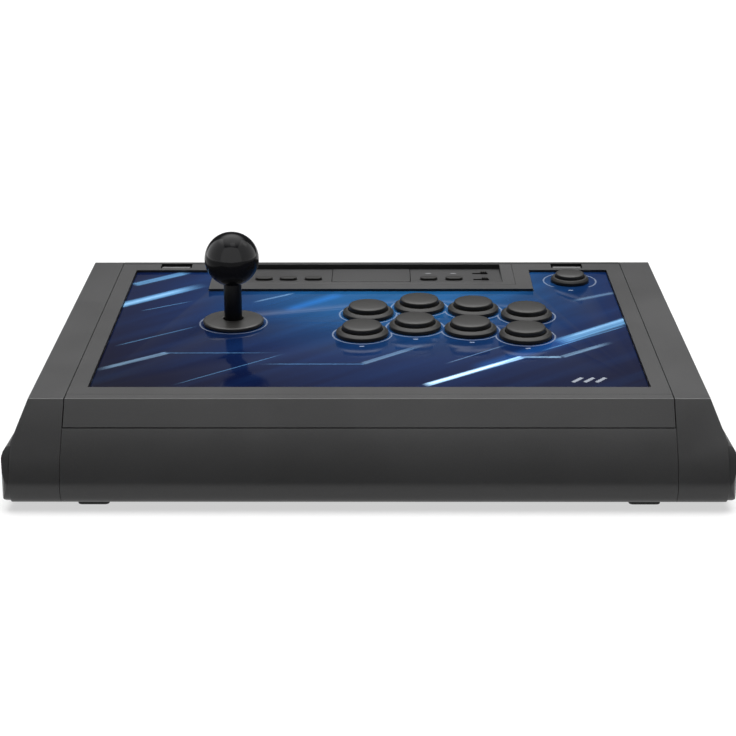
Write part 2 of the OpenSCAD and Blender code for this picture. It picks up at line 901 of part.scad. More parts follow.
module dust_washer() {
    color(gloss) at_lever() rotate_extrude() polygon([
        [6.5, 1.9], [7.6, 1.9], [washer_r - 0.8, 1.2], [washer_r, 0.7], [washer_r, -1.3],
        [6.5, -1.3]
    ]);
}

// ---- Small controls ------------------------------------------------------------------------

module touch_pad() {
    q0 = recess_q(pad_v0);
    q1 = recess_q(pad_v1);
    color(dark) in_recess() {
        block([-pad_x, q0, -2.2], [2 * pad_x, q1 - q0, 2.5]);
        for (x = [-16, 16]) rod(2, [x, recess_q(246), -7.4], 6);
    }
}

module option_button(n) {
    color(dark) in_recess() translate([option_x[n - 1], recess_q(option_v), 0]) {
        translate([0, 0, -4.5]) linear_extrude(5.7) oval(0);
        translate([0, 0, 1.1]) linear_extrude(0.6) oval(-0.5);
        rod(1.5, [0, 0, -7.9], 4);
    }
}

module option_button_1() {
    option_button(1);
}

module option_button_2() {
    option_button(2);
}

module option_button_3() {
    option_button(3);
}

module option_button_4() {
    option_button(4);
}

module option_button_5() {
    option_button(5);
}

module switch_knob(n) {
    color(dark) in_recess() translate([knob_rest_x, recess_q(knob_v[n - 1]), 0]) {
        block([-2.3, -1.6, -5.5], [4.6, 3.2, 6.8]);
        for (x = [-1.8, -0.4, 1]) block([x, -1.6, 1.1], [0.8, 3.2, 0.6]);
    }
}

module switch_knob_1() {
    switch_knob(1);
}

module switch_knob_2() {
    switch_knob(2);
}

// ---- One line per node ---------------------------------------------------------------------

base_tub();
left_side_panel();
right_side_panel();
left_side_cap();
right_side_cap();
bottom_plate();
case_screws();
rubber_feet();
main_board();
usb_socket();
hinge_brackets();
left_release_button();
right_release_button();
left_release_spring();
right_release_spring();
lid_frame();
front_bar();
panel_plate();
art_sheet();
clear_cover();
panel_screws();
function_panel();
function_board();
hinge_pins();
lever_mount_plate();
lever_nuts();
lever_housing();
restrictor_gate();
lever_switches();
lever_board();
button_bodies();
small_button_body();
button_switches();
pivot_ring();
lever_pivot();
lever_shaft();
shaft_cover();
ball_top();
actuator();
retaining_clip();
lever_spring();
under_washer();
dust_washer();
button_1();
button_2();
button_3();
button_4();
button_5();
button_6();
button_7();
button_8();
small_button();
touch_pad();
option_button_1();
option_button_2();
option_button_3();
option_button_4();
option_button_5();
switch_knob_1();
switch_knob_2();
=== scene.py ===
"""Looks of the arcade joystick panel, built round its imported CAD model.

Pieces that sit on the leaning top face are made in the deck frame: x across, y up the slope,
z out of the face, with its origin at the middle of the face's front edge. All in metres.
"""

import json
from functools import reduce
from math import atan2, cos, pi, radians, sin, sqrt, tan

import bmesh
import bpy
from mathutils import Euler, Matrix, Vector


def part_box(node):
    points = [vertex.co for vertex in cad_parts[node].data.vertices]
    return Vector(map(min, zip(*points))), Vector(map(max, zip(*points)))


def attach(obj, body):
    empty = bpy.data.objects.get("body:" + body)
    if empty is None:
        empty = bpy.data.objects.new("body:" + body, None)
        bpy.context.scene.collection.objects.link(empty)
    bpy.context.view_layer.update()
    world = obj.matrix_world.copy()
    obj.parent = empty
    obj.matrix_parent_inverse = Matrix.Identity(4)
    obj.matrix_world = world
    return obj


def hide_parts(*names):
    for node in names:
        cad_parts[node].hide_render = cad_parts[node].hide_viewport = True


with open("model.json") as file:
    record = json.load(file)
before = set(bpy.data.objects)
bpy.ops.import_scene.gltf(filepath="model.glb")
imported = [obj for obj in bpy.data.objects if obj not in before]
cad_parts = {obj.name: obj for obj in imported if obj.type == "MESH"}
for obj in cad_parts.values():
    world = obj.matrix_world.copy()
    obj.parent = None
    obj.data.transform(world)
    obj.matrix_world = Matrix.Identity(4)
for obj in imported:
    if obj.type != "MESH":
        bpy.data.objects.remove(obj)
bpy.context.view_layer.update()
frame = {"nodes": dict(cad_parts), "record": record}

MM = 0.001
NODES = frame["nodes"]
JOINTS = {joint["name"]: joint for joint in frame["record"]["behaviour"]["joints"]}

# ---- Deck frame, from the lever's and the lid's hinge axes -----------------------------------

HINGE_UP_DECK = 260.5 * MM
HINGE_BELOW_DECK = 2.5 * MM
ACROSS = Vector((1, 0, 0))
ALONG = Vector(JOINTS["lever_side"]["axis"]).normalized()
NORMAL = ACROSS.cross(ALONG)
DECK_ORIGIN = (Vector(JOINTS["lid_hinge"]["pos_m"]) - HINGE_UP_DECK * ALONG
               + HINGE_BELOW_DECK * NORMAL)
DECK = Matrix.Translation(DECK_ORIGIN) @ Matrix((ACROSS, ALONG, NORMAL)).transposed().to_4x4()


def deck_box(node):
    """Lowest and highest corner of a CAD node in the deck frame."""
    back = DECK.inverted()
    points = [back @ vertex.co for vertex in NODES[node].data.vertices]
    return (Vector([min(axis) for axis in zip(*points)]),
            Vector([max(axis) for axis in zip(*points)]))


def middle(low, high):
    return (low + high) / 2


# ---- Node trees ------------------------------------------------------------------------------

class Graph:
    """A node tree under construction. Most methods give back an output socket."""

    def __init__(self, owner, space="Object"):
        owner.use_nodes = True
        self.owner = owner
        self.tree = owner.node_tree
        self.place = self.add("ShaderNodeTexCoord").outputs[space]

    def add(self, kind, **settings):
        node = self.tree.nodes.new(kind)
        for key, value in settings.items():
            setattr(node, key, value)
        return node

    def put(self, socket, value):
        if isinstance(value, bpy.types.NodeSocket):
            self.tree.links.new(value, socket)
        else:
            socket.default_value = value

    def fed(self, kind, values, **settings):
        """A new node with its first inputs filled."""
        node = self.add(kind, **settings)
        for socket, value in zip(node.inputs, values):
            self.put(socket, value)
        return node

    def math(self, operation, *values):
        return self.fed("ShaderNodeMath", values, operation=operation).outputs[0]

    def vector(self, operation, *values):
        node = self.fed("ShaderNodeVectorMath", values, operation=operation)
        scalar = operation in ("DOT_PRODUCT", "DISTANCE", "LENGTH")
        return node.outputs[1 if scalar else 0]

    def split(self, value):
        """The three components of a vector."""
        return self.fed("ShaderNodeSeparateXYZ", [value]).outputs

    def fade(self, value, start, end, low=0.0, high=1.0):
        """Smooth change from low at start to high at end."""
        return self.fed("ShaderNodeMapRange", (value, start, end, low, high),
                        interpolation_type="SMOOTHSTEP").outputs[0]

    def noise(self, scale, detail=2.0, rough=0.5, at=None, lean=None):
        """Noise with about one cell per 1 / scale metres. lean squeezes it along an axis."""
        at = self.place if at is None else at
        if lean is not None:
            at = self.vector("MULTIPLY", at, lean)
        node = self.add("ShaderNodeTexNoise")
        self.put(node.inputs["Vector"], at)
        node.inputs["Scale"].default_value = scale
        node.inputs["Detail"].default_value = detail
        node.inputs["Roughness"].default_value = rough
        return node.outputs["Fac"]

    def cells(self, scale):
        node = self.add("ShaderNodeTexVoronoi")
        self.put(node.inputs["Vector"], self.place)
        node.inputs["Scale"].default_value = scale
        return node.outputs["Distance"]

    def blend(self, factor, first, second, how="MIX"):
        node = self.add("ShaderNodeMix", data_type="RGBA", blend_type=how)
        self.put(node.inputs[0], factor)
        for socket, value in ((node.inputs[6], first), (node.inputs[7], second)):
            self.put(socket, value if isinstance(value, bpy.types.NodeSocket) else (*value, 1))
        return node.outputs[2]

    def bump(self, height, distance):
        node = self.add("ShaderNodeBump")
        node.inputs["Distance"].default_value = distance
        self.put(node.inputs["Height"], height)
        return node.outputs["Normal"]

    def finish(self, **sockets):
        """Fills the shader's inputs, colours without their alpha, and gives back the material."""
        shader = self.tree.nodes["Principled BSDF"]
        for name, value in sockets.items():
            if isinstance(value, tuple):
                value = (*value, 1)
            self.put(shader.inputs[name.replace("_", " ")], value)
        return self.owner


def material(name):
    return Graph(bpy.data.materials.new(name))


def scaled(colour, factor):
    return tuple(channel * factor for channel in colour)


DOT_COLOUR = (0.30, 0.31, 0.32)


def grained_plastic(name, colour, roughness, grain=0.35 * MM, depth=0.02 * MM, spread=0.16,
                    dots=(), ior=1.42):
    """Moulded plastic with a spark-eroded grain and a faint cloudiness from handling.

    dots are the middles of small pale printed ovals, in x and y.
    """
    g = material(name)
    clouds = g.noise(9, 4, 0.6)
    fine = g.noise(1 / grain, 3, 0.65)
    pits = g.cells(0.7 / grain)
    relief = g.math("ADD", fine, g.math("MULTIPLY", pits, 0.6))
    worn = g.fade(clouds, 0.3, 0.75)
    speck = g.fade(fine, 0.3, 0.7, 1 - spread, 1 + spread)
    tint = g.blend(worn, scaled(colour, 0.94), scaled(colour, 1.07))
    grey = g.fed("ShaderNodeCombineColor", [speck] * 3).outputs[0]
    final = g.blend(1.0, tint, grey, "MULTIPLY")
    for x, y in dots:
        off = g.vector("MULTIPLY", g.vector("SUBTRACT", g.place, (x * MM, y * MM, 0)), (0.6, 1, 0))
        dot = g.fade(g.vector("LENGTH", off), 1.5 * MM, 1.0 * MM, 0, 0.5)
        final = g.blend(dot, final, DOT_COLOUR)
    return g.finish(
        Base_Color=final,
        Roughness=g.math("ADD", g.fade(clouds, 0.2, 0.8, roughness - 0.04, roughness + 0.05),
                         g.math("MULTIPLY", fine, 0.05)),
        Normal=g.bump(relief, depth),
        IOR=ior)


def polished_black(name, roughness, colour, ior):
    """Polished injection-moulded black: an orange-peel skin and a few hairline scuffs."""
    g = material(name)
    peel = g.noise(260, 1, 0.4)
    scuffs = g.noise(900, 4, 0.7, lean=(1, 0.12, 1))
    marks = g.fade(scuffs, 0.62, 0.72)
    return g.finish(
        Base_Color=g.blend(marks, colour, scaled(colour, 2.2)),
        Roughness=g.math("ADD", g.fade(g.noise(40, 3), 0.3, 0.7, roughness, roughness * 1.25),
                         g.math("MULTIPLY", marks, 0.08)),
        Normal=g.bump(peel, 0.015 * MM),
        IOR=ior)


def brushed_steel(name, colour, roughness, lean):
    """Steel with fine grinding lines along the axis that lean leaves unsqueezed."""
    g = material(name)
    lines = g.noise(3200, 3, 0.7, lean=lean)
    stains = g.noise(28, 5, 0.6)
    return g.finish(
        Base_Color=g.blend(g.fade(stains, 0.35, 0.7), colour, scaled(colour, 0.92)),
        Roughness=g.math("ADD", g.fade(stains, 0.3, 0.7, roughness, roughness + 0.05),
                         g.math("MULTIPLY", lines, 0.12)),
        Normal=g.bump(lines, 0.006 * MM),
        Metallic=1.0)


PIN_PITCH = 2.54 * MM


def circuit_board(name):
    """Green solder mask over copper tracks, with tinned pads."""
    g = material(name)
    across, along = [g.math("COSINE", g.math("MULTIPLY", axis, 2 * pi / PIN_PITCH))
                     for axis in g.split(g.place)[:2]]
    region = g.fade(g.noise(60, 1), 0.48, 0.52)
    tracks = g.math("MULTIPLY", g.fade(across, 0.82, 0.9), region)
    pads = g.math("MULTIPLY", g.fade(across, 0.9, 0.95), g.fade(along, 0.9, 0.95))
    mask = g.blend(tracks, (0.006, 0.06, 0.025), (0.015, 0.12, 0.045))
    return g.finish(
        Base_Color=g.blend(pads, mask, (0.55, 0.53, 0.48)),
        Roughness=g.fade(pads, 0, 1, 0.28, 0.42),
        Normal=g.bump(g.math("MAXIMUM", tracks, pads), 0.05 * MM),
        IOR=1.5)


def moulded_rubber(name):
    g = material(name)
    dust = g.noise(180, 5, 0.7)
    return g.finish(
        Base_Color=g.blend(g.fade(dust, 0.45, 0.75), (0.02, 0.02, 0.02), (0.045, 0.044, 0.042)),
        Roughness=g.fade(dust, 0.3, 0.7, 0.72, 0.9),
        Normal=g.bump(g.noise(1800, 2), 0.03 * MM),
        IOR=1.52)


# ---- The printed panel -----------------------------------------------------------------------

BUTTON_AT = [middle(*deck_box(f"button_{number}")) for number in range(1, 9)]
SMALL_AT = middle(*deck_box("small_button"))
LEVER_AT = middle(*deck_box("dust_washer"))

# Streaks of the print, in millimetres of the deck frame: start, end, half width, colour,
# strength, softness of the sides, and how far each end takes to fade
FROST = (0.75, 0.88, 1.0)
ICE = (0.40, 0.66, 0.90)
SKY = (0.15, 0.38, 0.64)
BLUE = (0.01, 0.10, 0.36)
STREAKS = [
    ((-165, 222), (-128, 253), 3.4, SKY, 0.50, 1.6, 4, 8),
    ((-170, 175), (-113, 225), 4.4, SKY, 0.62, 1.4, 3, 30),
    ((-168, 176), (-118, 221), 1.8, ICE, 0.34, 1.2, 3, 34),
    ((-153, 165), (-118, 188), 0.5, SKY, 0.35, 0.6, 8, 14),
    ((-80, 183), (-51, 205), 1.0, ICE, 0.24, 0.8, 10, 8),
    ((-58, 165), (-18, 203), 3.6, BLUE, 0.45, 3.6, 12, 10),
    ((-161, 95), (-110, 136), 0.5, SKY, 0.30, 0.7, 12, 16),
    ((-167, 51), (-125, 84), 2.2, ICE, 0.24, 0.7, 16, 3),
    ((-131, 82.7), (-51, 83.2), 0.45, SKY, 0.40, 0.5, 2, 40),
    ((-118, 25), (-51, 83), 0.4, SKY, 0.34, 0.5, 16, 18),
    ((-70, 62.7), (-3, 62.7), 0.5, SKY, 0.42, 0.5, 20, 1),
    ((-5, 62.7), (37, 101), 2.0, ICE, 0.22, 0.7, 3, 26),
    ((45, 62), (88, 100), 0.5, ICE, 0.24, 0.5, 12, 14),
    ((32, 25), (95, 76), 2.3, ICE, 0.85, 0.8, 6, 3),
    ((34, 27), (90, 72), 1.1, FROST, 0.50, 0.8, 8, 20),
    ((93, 75.2), (119, 75.2), 1.5, ICE, 0.40, 0.6, 3, 2),
    ((118, 75), (154, 104), 1.9, ICE, 0.26, 0.8, 3, 18),
    ((62, 52), (132, 114), 5.5, BLUE, 0.32, 4.0, 16, 14),
    ((116, 101), (172, 150), 4.6, SKY, 0.60, 1.6, 14, 6),
    ((124, 111), (172, 153), 1.6, ICE, 0.26, 1.2, 16, 6),
    ((104, 84), (168, 137), 0.6, SKY, 0.42, 0.7, 14, 14),
    ((133, 185), (168, 206), 1.8, ICE, 0.20, 1.6, 14, 6),
]
STREAK_LEAN = radians(42)

# Ground of the print, from its bright middle to its front corners
GLOW_MIDDLE = (20, 225, 0)
GLOW_REACH = (258, 282)
GROUND = [(0.0, (0.011, 0.088, 0.225)), (0.27, (0.008, 0.064, 0.182)),
          (0.42, (0.005, 0.030, 0.102)), (0.56, (0.003, 0.014, 0.064)),
          (0.70, (0.003, 0.008, 0.038)), (0.86, (0.002, 0.003, 0.018)),
          (1.0, (0.002, 0.002, 0.009))]

# Printed rings round the lever and the buttons, the small button's one open at the front; small
# marks in front of the front row and the small button; three plain slanted bars in a corner
RING_WHITE = (0.62, 0.70, 0.80)
RING_INK = 0.2
LEVER_RING = 21.7
BUTTON_RING = 18.8
SMALL_RING = 18.1
SMALL_RING_START = -14
MARK_WHITE = (0.7, 0.76, 0.84)
MARK_INK = 0.36
MARK_OFFSET = Vector((0, -23, 0))
SMALL_MARK_OFFSET = Vector((-1.2, -21, 0))
MARK_HALF = 1.8
BAR_STARTS = [(121, 31), (128, 31), (135, 31)]
BAR_REACH = (6.5, 8)


def streak(g, at, start, end, half, soft, fade_in, fade_out):
    """Mask of one straight streak from start to end."""
    reach = Vector((*end, 0)) - Vector((*start, 0))
    length = reach.length
    along_axis = reach / length
    across_axis = Vector((-along_axis.y, along_axis.x, 0))
    from_start = g.vector("SUBTRACT", at, (*start, 0))
    along = g.vector("DOT_PRODUCT", from_start, tuple(along_axis))
    across = g.math("ABSOLUTE", g.vector("DOT_PRODUCT", from_start, tuple(across_axis)))
    body = g.fade(across, half + soft, max(half - soft, 0))
    ends = g.math("MULTIPLY", g.fade(along, 0, fade_in), g.fade(along, length, length - fade_out))
    return g.math("MULTIPLY", body, ends)


def ring(g, distance, radius, half=0.35, soft=0.35):
    """Mask of a circular line, from the distance to its centre."""
    off = g.math("ABSOLUTE", g.math("SUBTRACT", distance, radius))
    return g.fade(off, half + soft, half)


def printed_art():
    """A dark blue print with generic light streaks under a polished acrylic skin."""
    g = material("printed_art")
    at = g.vector("MULTIPLY", g.place, (1 / MM, 1 / MM, 0))

    off = g.vector("SUBTRACT", at, GLOW_MIDDLE)
    glow = g.vector("LENGTH", g.vector("DIVIDE", off, (*GLOW_REACH, 1)))
    colours = g.fed("ShaderNodeValToRGB", [glow])
    ramp = colours.color_ramp.elements
    while len(ramp) < len(GROUND):
        ramp.new(1.0)
    for element, (position, colour) in zip(ramp, GROUND):
        element.position = position
        element.color = (*colour, 1)

    # Soft diagonal drift in the ground, along the streaks
    run, rise = cos(STREAK_LEAN), sin(STREAK_LEAN)
    drift_axes = ((run, rise, 0), (-rise, run, 0))
    drift = g.fed("ShaderNodeCombineXYZ", [
        g.math("MULTIPLY", g.vector("DOT_PRODUCT", at, axis), squeeze)
        for axis, squeeze in zip(drift_axes, (0.004, 0.05))]).outputs[0]
    sweep = g.noise(1.0, 4, 0.55, at=drift)
    colour = g.blend(g.fade(sweep, 0.4, 0.75, 0, 0.11), colours.outputs[0],
                     (0.010, 0.05, 0.15), "ADD")
    colour = g.blend(g.fade(sweep, 0.62, 0.3, 0, 0.22), colour, (0.002, 0.003, 0.015))

    grain = g.fade(g.noise(1.0, 3, 0.6, at=drift, lean=(1, 14, 1)), 0.3, 0.7, 0.6, 1.15)
    for start, end, half, tone, strength, soft, fade_in, fade_out in STREAKS:
        mask = streak(g, at, start, end, half, soft, fade_in, fade_out)
        mask = g.math("MULTIPLY", g.math("MULTIPLY", mask, grain), strength)
        colour = g.blend(mask, colour, tone, "ADD")

    def distance(point):
        return g.vector("DISTANCE", at, (point.x / MM, point.y / MM, 0))

    def joined(operation, masks):
        return reduce(lambda first, second: g.math(operation, first, second), masks)

    nearest = joined("MINIMUM", [distance(point) for point in BUTTON_AT])
    ring_start = SMALL_AT.y / MM + SMALL_RING_START
    rear_side = g.fade(g.split(at)[1], ring_start, ring_start + 1)
    small_ring = g.math("MULTIPLY", ring(g, distance(SMALL_AT), SMALL_RING), rear_side)
    lines = joined("MAXIMUM", [ring(g, nearest, BUTTON_RING),
                               ring(g, distance(LEVER_AT), LEVER_RING), small_ring])
    colour = g.blend(g.math("MULTIPLY", lines, RING_INK), colour, RING_WHITE)

    marked = [point / MM + MARK_OFFSET for point in BUTTON_AT[4:]]
    marked.append(SMALL_AT / MM + SMALL_MARK_OFFSET)
    marks = [streak(g, at, (x - MARK_HALF, y), (x + MARK_HALF, y), 0.7, 0.3, 0.6, 0.6)
             for x, y, _ in marked]
    marks += [streak(g, at, (x, y), (x + BAR_REACH[0], y + BAR_REACH[1]), 1.2, 0.3, 0.6, 0.6)
              for x, y in BAR_STARTS]
    colour = g.blend(g.math("MULTIPLY", joined("MAXIMUM", marks), MARK_INK), colour, MARK_WHITE)

    smears = g.noise(34, 5, 0.7)
    return g.finish(
        Base_Color=colour,
        Roughness=g.fade(smears, 0.35, 0.8, 0.09, 0.12),
        Normal=g.bump(g.noise(260, 1), 0.001 * MM),
        IOR=1.43)


CASE = grained_plastic("case_grain", (0.027, 0.027, 0.0274), 0.36)
CAP = grained_plastic("cap_satin", (0.027, 0.027, 0.0274), 0.34, grain=0.25 * MM, depth=0.01 * MM)
CONTROL = grained_plastic("control_satin", (0.0225, 0.022, 0.0212), 0.36, grain=0.22 * MM,
                          depth=0.008 * MM, spread=0.1, ior=1.3)
WASHER = grained_plastic("washer_satin", (0.033, 0.032, 0.030), 0.32, grain=0.22 * MM,
                         depth=0.006 * MM, spread=0.1)
STRIP = grained_plastic("strip_grain", (0.028, 0.028, 0.0284), 0.36, grain=0.3 * MM,
                        dots=[(40.2, 130.5), (57.8, 130.5)])
MECHANISM = grained_plastic("nylon", (0.018, 0.018, 0.019), 0.36, grain=0.5 * MM,
                            depth=0.008 * MM)
BALL = polished_black("ball_gloss", 0.1, (0.0014, 0.0014, 0.0016), 1.15)
TUBE = polished_black("tube_gloss", 0.3, (0.004, 0.004, 0.0045), 1.3)
GLOSS = polished_black("washer_gloss", 0.24, (0.006, 0.006, 0.007), 1.5)
SHEET_STEEL = brushed_steel("zinc_sheet", (0.48, 0.49, 0.50), 0.34, (0.02, 1, 1))
TURNED_STEEL = brushed_steel("turned_steel", (0.55, 0.55, 0.56), 0.22, (1, 1, 0.05))
BOARD = circuit_board("solder_mask")
RUBBER = moulded_rubber("foot_rubber")
ART = printed_art()

SLOT_FINISH = {
    "case_plastic": CASE, "cap_plastic": CAP, "control_plastic": CONTROL,
    "strip_plastic": STRIP, "printed_panel": ART, "print": ART, "gloss_black": GLOSS,
    "zinc_steel": SHEET_STEEL, "black_steel": MECHANISM, "turned_steel": TURNED_STEEL,
    "circuit": BOARD, "mechanism_plastic": MECHANISM, "rubber": RUBBER,
}
NODE_SLOT = {part["node"]: part["material_slot"] for part in frame["record"]["subparts"]}
NODE_BODY = {node: body for body, members in frame["record"]["behaviour"]["bodies"].items()
             for node in members}


# ---- Mesh helpers ----------------------------------------------------------------------------

SHARP_ANGLE = radians(32)


def mesh_from(bm, name):
    """Turns a bmesh into a smooth mesh with sharp edges where it bends."""
    bmesh.ops.recalc_face_normals(bm, faces=bm.faces)
    mesh = bpy.data.meshes.new(name)
    bm.to_mesh(mesh)
    bm.free()
    for polygon in mesh.polygons:
        polygon.use_smooth = True
    mesh.set_sharp_from_angle(angle=SHARP_ANGLE)
    return mesh


def piece(name, mesh, node, finish=None, place=DECK):
    """A new piece that replaces a CAD node, takes its slot and rides on its body."""
    thing = bpy.data.objects.new(name, mesh)
    bpy.context.scene.collection.objects.link(thing)
    thing.matrix_world = place
    if not mesh.materials:
        mesh.materials.append(finish or SLOT_FINISH[NODE_SLOT[node]])
    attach(thing, NODE_BODY[node])
    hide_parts(node)
    return thing


def softened(points, steps=5):
    """A profile with each corner turned into an arc. A point is (x, y) or (x, y, radius)."""
    out = []
    count = len(points)
    for i, point in enumerate(points):
        corner = Vector(point[:2])
        radius = point[2] if len(point) > 2 else 0
        if not radius:
            out.append(corner)
            continue
        before = (Vector(points[i - 1][:2]) - corner).normalized()
        after = (Vector(points[(i + 1) % count][:2]) - corner).normalized()
        half = before.angle(after) / 2
        leg = radius / tan(half)
        centre = corner + (before + after).normalized() * radius / sin(half)
        first = corner + before * leg - centre
        last = corner + after * leg - centre
        start = atan2(first.y, first.x)
        sweep = (atan2(last.y, last.x) - start + pi) % (2 * pi) - pi
        for k in range(steps + 1):
            a = start + sweep * k / steps
            out.append(centre + radius * Vector((cos(a), sin(a))))
    return out


def lathe(name, profile, segments=96, closed=True):
    """A surface turned about the z axis. Profile points are (radius, height) in millimetres."""
    bm = bmesh.new()
    rings = []
    for radius, height in softened(profile):
        if radius < 1e-6:
            rings.append([bm.verts.new((0, 0, height * MM))])
        else:
            rings.append([bm.verts.new((radius * MM * cos(2 * pi * k / segments),
                                        radius * MM * sin(2 * pi * k / segments), height * MM))
                          for k in range(segments)])
    pairs = list(zip(rings, rings[1:])) + ([(rings[-1], rings[0])] if closed else [])
    for low, high in pairs:
        for k in range(segments):
            n = (k + 1) % segments
            # A point on the axis is a ring of one, so its quads become triangles
            corners = list(dict.fromkeys([low[k % len(low)], low[n % len(low)],
                                          high[n % len(high)], high[k % len(high)]]))
            if len(corners) > 2:
                bm.faces.new(corners)
    return mesh_from(bm, name)


def circle(x, y, radius, count=96):
    return [(x + radius * cos(2 * pi * k / count), y + radius * sin(2 * pi * k / count))
            for k in range(count)]


def round_box(x0, y0, x1, y1, radius, steps=8):
    """Outline of a rectangle with rounded corners."""
    return softened(
        [(x0, y0, radius), (x1, y0, radius), (x1, y1, radius), (x0, y1, radius)], steps)


def plate(name, outlines, low, high, edge=0.0, steps=2):
    """A flat plate between two heights, from an outer outline and its holes, in millimetres."""
    curve = bpy.data.curves.new(name, "CURVE")
    curve.dimensions = "2D"
    curve.fill_mode = "BOTH"
    curve.extrude = max((high - low) / 2 - edge, 0) * MM
    curve.bevel_depth = edge * MM
    curve.bevel_resolution = steps
    curve.offset = -edge * MM
    for outline in outlines:
        spline = curve.splines.new("POLY")
        spline.points.add(len(outline) - 1)
        for point, (x, y) in zip(spline.points, outline):
            point.co = (x * MM, y * MM, 0, 1)
        spline.use_cyclic_u = True
    carrier = bpy.data.objects.new(name, curve)
    mesh = bpy.data.meshes.new_from_object(carrier)
    bpy.data.objects.remove(carrier)
    bpy.data.curves.remove(curve)
    bm = bmesh.new()
    bm.from_mesh(mesh)
    bpy.data.meshes.remove(mesh)
    bmesh.ops.translate(bm, verts=bm.verts, vec=(0, 0, (low + high) / 2 * MM))
    bmesh.ops.remove_doubles(bm, verts=bm.verts, dist=1e-7)
    return mesh_from(bm, name)


def at_deck(point):
    """Place of a piece that stands on the deck at a point's x and y."""
    return DECK @ Matrix.Translation((point.x, point.y, 0))


def radius_of(low, high):
    """Radius in millimetres of the round piece in a box."""
    return (high.x - low.x) / 2 / MM


def paint(node, finish=None):
    """Gives a CAD node its finish."""
    thing = NODES[node]
    thing.data.materials.clear()
    thing.data.materials.append(finish or SLOT_FINISH[NODE_SLOT[node]])
    return thing


def dress(node, edge, angle=20, segments=3, finish=None):
    """Keeps a CAD node, rounds its edges with modifiers and gives it its finish."""
    thing = paint(node, finish)
    weld = thing.modifiers.new("weld", "WELD")
    weld.merge_threshold = 0.002 * MM
    flat = thing.modifiers.new("flat", "DECIMATE")
    flat.decimate_type = "DISSOLVE"
    flat.angle_limit = radians(0.4)
    bevel = thing.modifiers.new("edge", "BEVEL")
    bevel.width = edge * MM
    bevel.segments = segments
    bevel.limit_method = "ANGLE"
    bevel.angle_limit = radians(angle)
    bevel.use_clamp_overlap = True
    bevel.harden_normals = False
    even = thing.modifiers.new("even", "WEIGHTED_NORMAL")
    even.keep_sharp = False
    even.weight = 80


# ---- Case ------------------------------------------------------------------------------------

for node, edge in (("base_tub", 0.3), ("left_side_panel", 0.35), ("right_side_panel", 0.35),
                   ("lid_frame", 0.3), ("front_bar", 0.25), ("left_side_cap", 0.6),
                   ("right_side_cap", 0.6), ("function_panel", 0.3)):
    dress(node, edge)
for node, edge in (("bottom_plate", 0.3), ("hinge_brackets", 0.25), ("left_release_button", 0.9),
                   ("right_release_button", 0.9), ("panel_plate", 0.25),
                   ("lever_mount_plate", 0.3), ("lever_housing", 0.5), ("restrictor_gate", 0.4),
                   ("lever_switches", 0.3), ("button_switches", 0.3), ("usb_socket", 0.3),
                   ("pivot_ring", 0.4), ("lever_pivot", 0.3), ("actuator", 0.6),
                   ("lever_shaft", 0.6), ("retaining_clip", 0.15), ("lever_nuts", 0.3)):
    dress(node, edge, angle=30, segments=2)
dress("hinge_pins", 0.3, angle=30, segments=2, finish=MECHANISM)
for node in ("case_screws", "panel_screws", "left_release_spring", "right_release_spring",
             "lever_spring", "main_board", "function_board", "lever_board", "art_sheet"):
    paint(node)

# ---- Printed panel ---------------------------------------------------------------------------

# The recessed strip stands in a notch in the panel's rear edge
NOTCH_HALF = 111.4
NOTCH_FRONT = 208.1
NOTCH_CORNER = 2
PANEL_CORNER = 1.5
LEVER_HOLE = 12
BUTTON_HOLE = 15.1
SMALL_HOLE = 12.1
cover_low, cover_high = deck_box("clear_cover")
side, front, rear = cover_high.x / MM, cover_low.y / MM, cover_high.y / MM
right_half = [(side, front, PANEL_CORNER), (side, rear, PANEL_CORNER),
              (NOTCH_HALF, rear, PANEL_CORNER), (NOTCH_HALF, NOTCH_FRONT, NOTCH_CORNER)]
left_half = [(-x, y, radius) for x, y, radius in reversed(right_half)]
holes = [circle(point.x / MM, point.y / MM, radius) for point, radius in
         [(LEVER_AT, LEVER_HOLE), (SMALL_AT, SMALL_HOLE)] + [(p, BUTTON_HOLE) for p in BUTTON_AT]]
panel = plate("printed_cover", [softened(right_half + left_half)] + holes,
              cover_low.z / MM, cover_high.z / MM, edge=0.18)
piece("printed_cover", panel, "clear_cover")

# ---- Push buttons ----------------------------------------------------------------------------

PANEL_TOP = cover_high.z / MM
PLUNGER_GAP = 0.35
STEM_HOLE = 3.6
THREAD_TOP = PANEL_TOP - 3.2
THREAD_TURNS = 9
THREAD_PITCH = 1.5
THREAD_DEPTH = 0.45


def button_body(name, rim, bore, barrel, top, bottom):
    """Rim and threaded barrel of a push button; the rim slopes down to a rounded edge."""
    profile = [(bore, top, 0.35), (bore + 1.3, top, 0.6), (rim, top - 1.55, 0.75),
               (rim, PANEL_TOP, 0.25), (barrel, PANEL_TOP)]
    for turn in range(THREAD_TURNS):
        z = THREAD_TOP - THREAD_PITCH * turn
        profile += [(barrel, z, 0.12), (barrel - THREAD_DEPTH, z - THREAD_PITCH / 2, 0.12)]
    profile += [(barrel, THREAD_TOP - THREAD_PITCH * THREAD_TURNS), (barrel, bottom, 0.6),
                (STEM_HOLE, bottom, 0.2), (STEM_HOLE, bottom + 2, 0.2), (bore, bottom + 2, 0.6)]
    return lathe(name, profile)


def plunger(name, radius, top, foot):
    """Moving cap of a push button: a low dome with a rounded shoulder, a skirt and a stem."""
    dome = [(radius * share, top - 0.55 * share ** 2) for share in (0, 0.2, 0.4, 0.6, 0.76)]
    profile = dome + [(radius - 0.15, top - 0.75, 1.1), (radius, top - 2.6), (radius, -10, 0.3),
                      (radius - 1.5, -10, 0.3), (radius - 1.5, top - 3.2, 0.6),
                      (3, top - 3.2, 0.6), (3, foot, 0.5), (0, foot)]
    return lathe(name, profile, closed=False)


